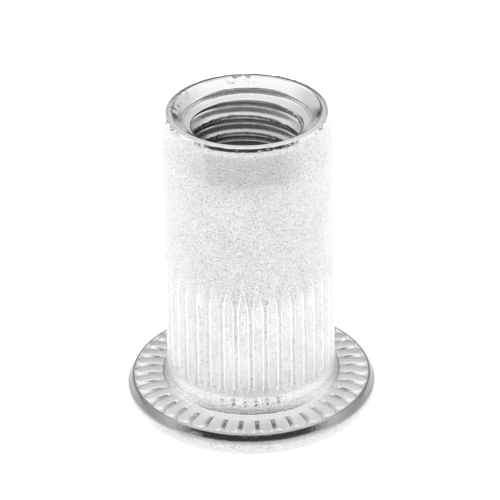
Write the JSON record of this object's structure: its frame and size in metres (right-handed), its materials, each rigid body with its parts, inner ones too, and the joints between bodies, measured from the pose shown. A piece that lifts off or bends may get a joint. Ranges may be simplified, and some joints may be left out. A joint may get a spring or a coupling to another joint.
{
  "type": "rivet nut",
  "caption": "Open-ended blind rivet nut with a flat flange, radial serrations under it, a splined shank and an internal thread.",
  "frame": {"origin": "centre of the flange's flat outer face, on the axis", "axes": "+Z along the axis, from the flange face up the shank to the threaded end"},
  "size_m": [0.0164, 0.0164, 0.0213],
  "materials": {
    "aluminium": "cold-formed, tumbled matt"
  },
  "bodies": {
    "root": {"rivet_nut": "aluminium"}
  },
  "joints": []
}
